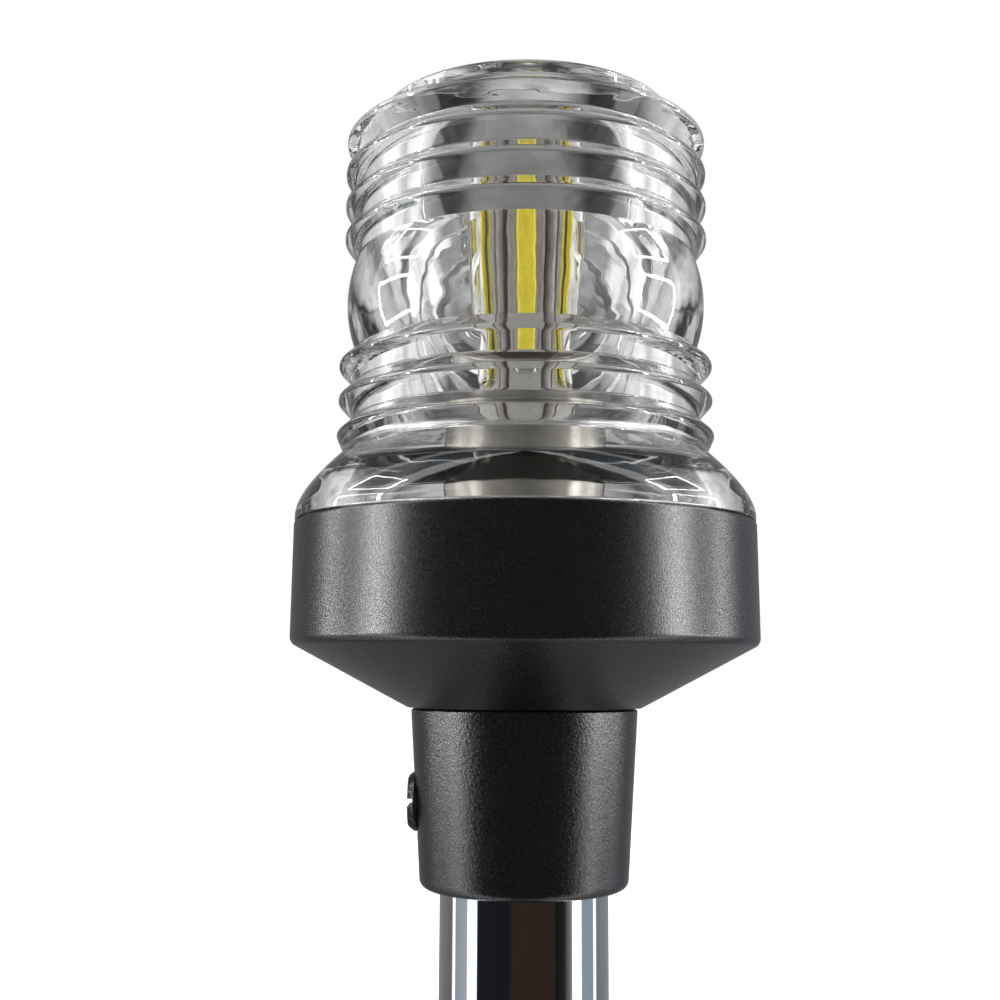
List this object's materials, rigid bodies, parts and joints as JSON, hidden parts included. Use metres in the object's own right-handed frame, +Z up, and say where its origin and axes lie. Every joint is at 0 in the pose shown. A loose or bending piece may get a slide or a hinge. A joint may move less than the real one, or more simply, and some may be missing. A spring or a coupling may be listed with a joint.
{
  "type": "navigation light",
  "caption": "All-round boat navigation light: clear Fresnel lens over an LED bayonet lamp, in a black bowl and neck clamped on a round steel pole.",
  "frame": {"origin": "centre of the pole's lower end, at the bottom of the part", "axes": "+Z up along the pole's axis; the clamp screw faces -X; -Y is the front"},
  "size_m": [0.0718, 0.0718, 0.1414],
  "materials": {
    "stainless": "polished stainless steel",
    "coarse_black": "coarse sparkle-grained black moulding",
    "satin_black": "fine-grained satin black moulding",
    "gloss_black": "gloss black",
    "clear": "clear polycarbonate",
    "rubber": "matt",
    "nickel": "bright nickel plate",
    "zinc": "zinc plate",
    "brass": "turned",
    "spring_steel": "drawn wire",
    "phenolic": "pressed phenolic",
    "grey_aluminium": "matt grey anodised",
    "board_white": "white solder mask",
    "phosphor": "yellow phosphor gel",
    "lead_red": "PVC insulation",
    "lead_black": "PVC insulation"
  },
  "bodies": {
    "housing": {"clamp_insert": "brass", "contact_spring": "spring_steel", "holder_screw_1": "zinc", "holder_screw_2": "zinc", "housing_bowl": "satin_black", "lamp_holder": "nickel", "lead_black": "lead_black", "lead_grommet": "rubber", "lead_red": "lead_red", "neck_screw_1": "zinc", "neck_screw_2": "zinc", "neck_screw_3": "zinc", "neck_socket": "coarse_black", "pole_tube": "stainless"},
    "seal": {"lens_seal": "rubber"},
    "lens_cover": {"lens": "clear"},
    "contacts": {"contact_disc": "phenolic", "contact_stud_1": "brass", "contact_stud_2": "brass"},
    "lamp": {"lamp_base": "nickel", "lamp_base_insulator": "phenolic", "lamp_body": "nickel", "lamp_cap": "grey_aluminium", "lamp_contact_1": "zinc", "lamp_contact_2": "zinc", "led_board_1": "board_white", "led_board_2": "board_white", "led_board_3": "board_white", "led_board_4": "board_white", "led_board_5": "board_white", "led_board_6": "board_white", "led_core": "grey_aluminium", "led_cover_1": "clear", "led_cover_2": "clear", "led_cover_3": "clear", "led_cover_4": "clear", "led_cover_5": "clear", "led_cover_6": "clear", "led_strip_1": "phosphor", "led_strip_2": "phosphor", "led_strip_3": "phosphor", "led_strip_4": "phosphor", "led_strip_5": "phosphor", "led_strip_6": "phosphor"},
    "clamp_ring": {"clamp_washer": "gloss_black"},
    "clamp_screw": {"clamp_screw": "gloss_black"}
  },
  "joints": [
    {"name": "lens_rise", "type": "slide", "parent": "housing", "child": "seal", "axis": [0, 0, 1], "range_m": [0, 0.002]},
    {"name": "lens_twist", "type": "hinge", "parent": "seal", "child": "lens_cover", "pos_m": [0, 0, 0.075], "axis": [0, 0, 1], "range_deg": [0, 60]},
    {"name": "lamp_push", "type": "slide", "parent": "housing", "child": "contacts", "axis": [0, 0, 1], "range_m": [-0.0025, 0], "stiffness_N_per_m": 1200, "springref_m": 0.003, "deforming": ["contact_spring"]},
    {"name": "lamp_twist", "type": "hinge", "parent": "contacts", "child": "lamp", "pos_m": [0, 0, 0.0672], "axis": [0, 0, 1], "range_deg": [0, 22]},
    {"name": "clamp_travel", "type": "slide", "parent": "housing", "child": "clamp_ring", "axis": [-1, 0, 0], "range_m": [0, 0.0021]},
    {"name": "clamp_turn", "type": "hinge", "parent": "clamp_ring", "child": "clamp_screw", "pos_m": [-0.016, 0, 0.033], "axis": [-1, 0, 0], "range_deg": [0, 1080]}
  ],
  "couplings": [
    {"joint": "lens_rise", "follows": "lens_twist", "m_per_rad": 0.0019099},
    {"joint": "clamp_turn", "follows": "clamp_travel", "rad_per_m": 8976}
  ]
}
